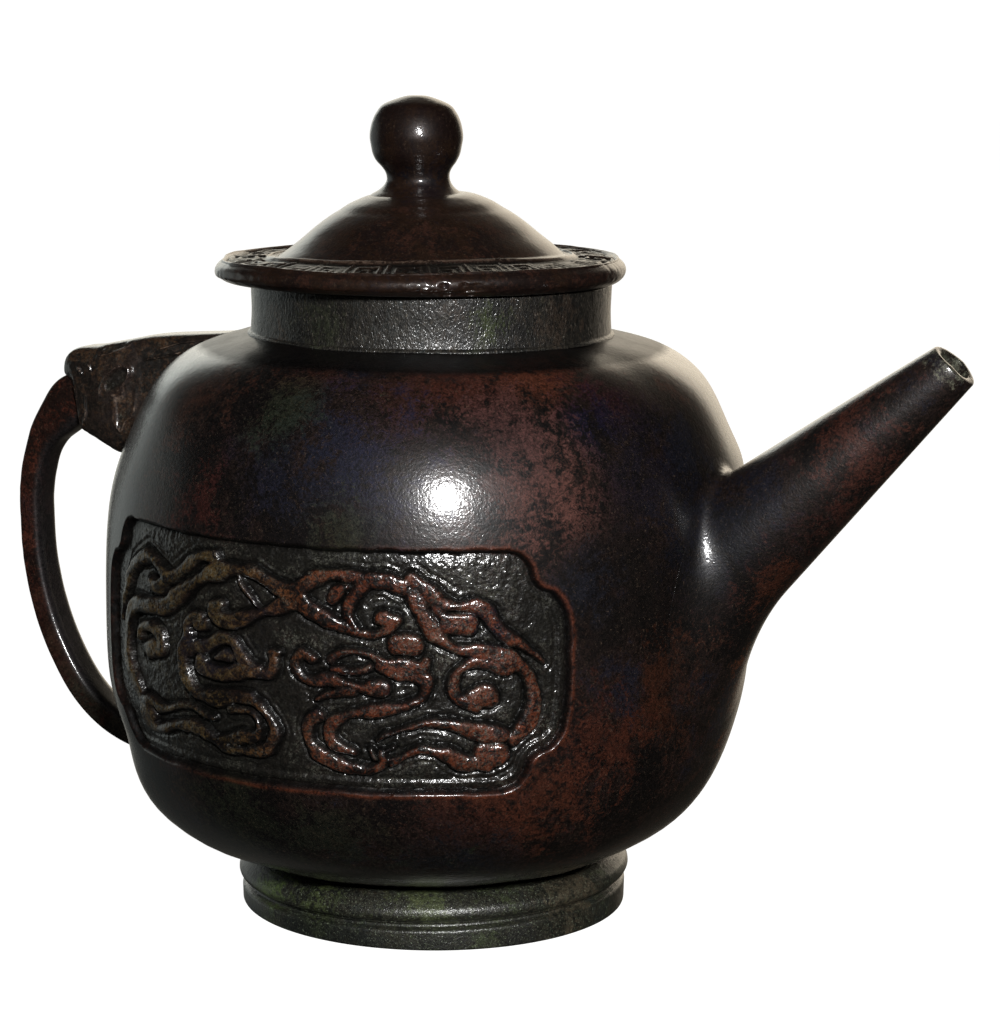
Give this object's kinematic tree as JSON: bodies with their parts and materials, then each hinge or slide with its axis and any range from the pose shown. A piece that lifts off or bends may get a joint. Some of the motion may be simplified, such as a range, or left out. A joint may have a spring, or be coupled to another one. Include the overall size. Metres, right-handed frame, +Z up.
{
  "type": "ewer",
  "caption": "Round lidded bronze ewer on a foot ring, with a straight spout, a strap handle from a beast's mouth and sunken relief panels.",
  "frame": {"origin": "middle of the whole outline on the table; the pot's own axis stands 8.9 mm towards the handle from it", "axes": "+X towards the spout, -X towards the handle, +Z up, relief panels on the +Y and -Y sides"},
  "size_m": [0.2038, 0.1262, 0.1621],
  "materials": {
    "body_bronze": "cast bronze with a mottled dark brown and black patina",
    "green_bronze": "cast bronze gone grey-green with mossy corrosion",
    "handled_bronze": "cast bronze rubbed reddish brown where it is held",
    "head_bronze": "chased bronze, dark brown with rubbed high spots",
    "lid_bronze": "turned bronze, polished dark brown patina",
    "inner_bronze": "unpolished dull dark bronze"
  },
  "bodies": {
    "vessel": {"body_shell": "body_bronze", "foot_ring": "green_bronze", "base_plate": "inner_bronze", "neck_collar": "green_bronze", "spout": "handled_bronze", "handle_bow": "handled_bronze", "handle_beast_head": "head_bronze"},
    "lid": {"lid_cover": "lid_bronze", "lid_flange": "inner_bronze", "finial": "lid_bronze", "finial_washer": "inner_bronze"}
  },
  "joints": [
    {"name": "lid_lift", "type": "slide", "parent": "vessel", "child": "lid", "axis": [0, 0, 1], "range_m": [0, 0.06]}
  ]
}
